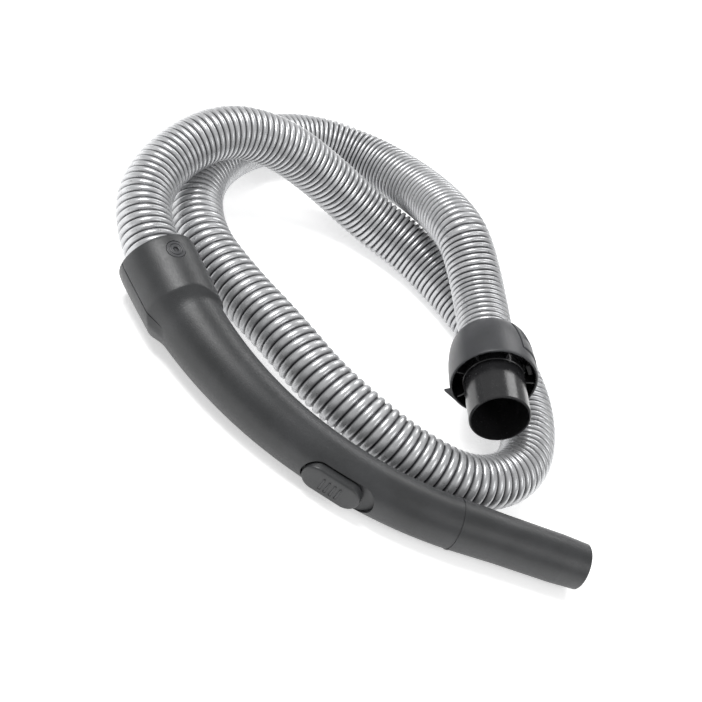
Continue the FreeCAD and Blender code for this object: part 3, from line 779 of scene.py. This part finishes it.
def make_latch():
    """The latch's pad with its slanting ridges, and the dark arm and hook behind it."""
    rows = 84
    columns = 96
    outside = []
    inside = []
    for row in range(rows + 1):
        along = LATCH_REAR + (LATCH_FRONT - LATCH_REAR) * row / rows
        outer_row = []
        inner_row = []
        for column in range(columns + 1):
            side = LATCH_WIDTH * (column / columns - 0.5)
            edge = min(along - LATCH_REAR, LATCH_FRONT - along, LATCH_WIDTH / 2 - abs(side))
            lift = LATCH_LIFT - 0.5 * max(0.0, 1 - edge / PAD_EDGE) ** 2
            if edge > PAD_RIDGE_MARGIN and along < PAD_RIDGE_END:
                wave = math.cos(2 * math.pi * (side * 0.77 + along * 0.64) / PAD_RIDGE_PITCH)
                fade = min(1.0, min(edge - PAD_RIDGE_MARGIN, PAD_RIDGE_END - along) / PAD_RIDGE_FADE)
                lift += 0.55 * fade * max(-0.6, min(0.6, wave * 1.6))
            radius = bell_radius(along) + lift
            angle = math.asin(side / (bell_radius(along) + LATCH_LIFT))
            outer_row.append((radius * math.cos(angle), radius * math.sin(angle), along))
            low = bell_radius(along) - 1.1
            inner_row.append((low * math.cos(angle), low * math.sin(angle), along))
        outside.append(outer_row)
        inside.append(inner_row)
    rings = [outer + inner[::-1] for outer, inner in zip(outside, inside)]
    pad = ring_mesh("latch_pad", rings, CONNECTOR, closed=False, capped=True)
    fit(pad, "latch", "bell", "release_latch")
    root = (PIN_OUT + 0.1, -3, PIN_ALONG + 3)
    arm = brick("latch_arm", CONNECTOR, root, (PIN_OUT + 1.5, 6, PIN_ALONG + 16))
    web = brick("latch_web", CONNECTOR, root, (PIN_OUT + 4.0, 6, PIN_ALONG + 6.5))
    hook = brick("latch_hook", CONNECTOR, (24.8, -3, PIN_ALONG + 14), (27.8, 6, PIN_ALONG + 16))
    ears = [
        brick(f"latch_ear_{number}", CONNECTOR, (PIN_OUT - 1.7, low, PIN_ALONG - 2.2),
              (PIN_OUT + 3.2, low + 2.5, PIN_ALONG + 2.3))
        for number, low in enumerate((4.6, -7.1))
    ]
    merge(arm, web, hook, *ears)
    fit(arm, "latch", "spout")
    paint(arm, "seal")


make_collar()
make_slider()
make_bell()
make_latch()

# ------------------------------------------------------------------------------------------ floor, lights


def make_stage():
    """A pale floor that runs past the picture, and soft lights."""
    mesh = bpy.data.meshes.new("floor")
    reach = 6.0
    corners = [(-reach, -reach, 0), (reach, -reach, 0), (reach, reach, 0), (-reach, reach, 0)]
    mesh.from_pydata(corners, [], [(0, 1, 2, 3)])
    floor = link(mesh, "floor")
    finish = Finish("floor_paper", (0.95, 0.95, 0.95), 0.9,
                    Emission_Color=(1, 1, 1, 1), Emission_Strength=0.5)
    finish.set("Roughness", finish.ramp(finish.noise(40, 3), 0.3, 0.7, 0.8, 0.9))
    mesh.materials.append(finish.material)
    world = bpy.data.worlds.new("studio")
    world.use_nodes = True
    world.node_tree.nodes["Background"].inputs["Color"].default_value = (1.0, 1.0, 1.0, 1.0)
    world.node_tree.nodes["Background"].inputs["Strength"].default_value = 0.5
    bpy.context.scene.world = world


def area_light(name, place, aim, size, power):
    """A soft square light that looks at a point."""
    data = bpy.data.lights.new(name, "AREA")
    data.size = size
    data.energy = power
    lamp = bpy.data.objects.new(name, data)
    bpy.context.scene.collection.objects.link(lamp)
    lamp.location = place
    lamp.rotation_euler = (Vector(aim) - Vector(place)).to_track_quat("-Z", "Y").to_euler()


bpy.context.scene.view_settings.view_transform = "Standard"
make_stage()
LIGHT_AIM = (0, 0.05, 0.03)
area_light("key", (-0.95, 0.35, 1.75), LIGHT_AIM, 0.8, 33)
area_light("fill", (1.3, -1.2, 1.3), LIGHT_AIM, 1.0, 10)
area_light("back", (0.7, 1.6, 1.3), LIGHT_AIM, 0.8, 9)
